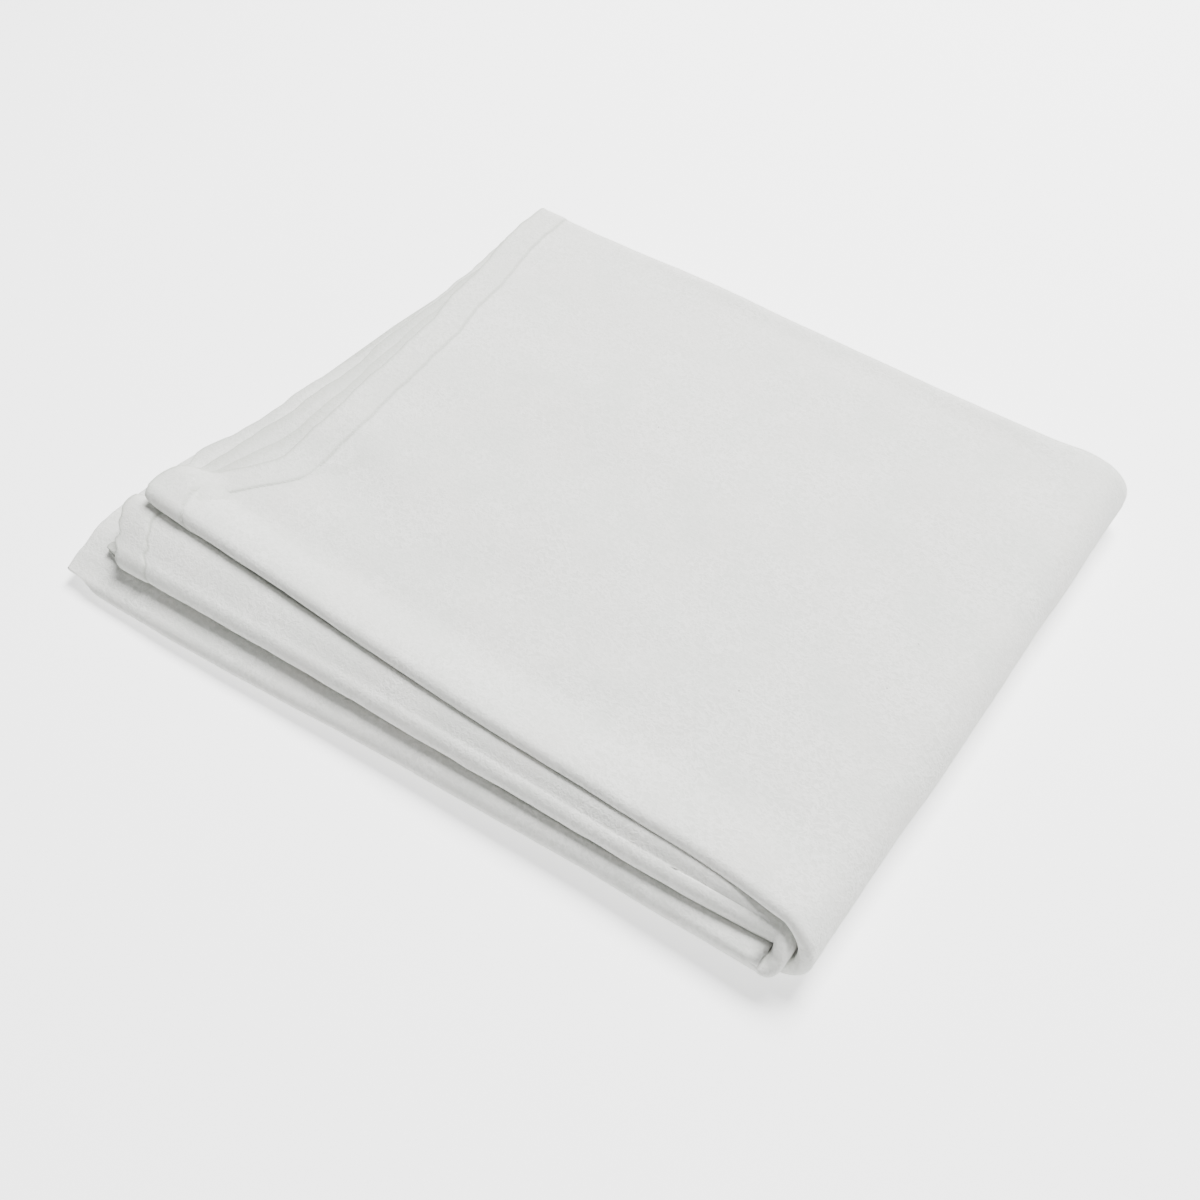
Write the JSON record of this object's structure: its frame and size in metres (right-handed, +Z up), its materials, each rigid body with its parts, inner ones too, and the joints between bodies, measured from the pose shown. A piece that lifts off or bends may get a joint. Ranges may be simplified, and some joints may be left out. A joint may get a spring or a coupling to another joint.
{
  "type": "folded turban cloth",
  "caption": "Long plain cotton turban cloth folded into a soft flat pad, with rolled near edges that fan out towards its hemmed ends and a closed bend at the other end.",
  "frame": {"origin": "middle of the box of the folded pad, on the surface that it lies on", "axes": "+X from the hemmed ends to the closed bend, +Y from the soft near rolls to the closed back fold, +Z up"},
  "size_m": [0.3282, 0.3038, 0.0343],
  "materials": {
    "cotton_voile": "matt, soft off-white plain weave"
  },
  "bodies": {
    "root": {"turban_cloth": "cotton_voile"}
  },
  "joints": []
}
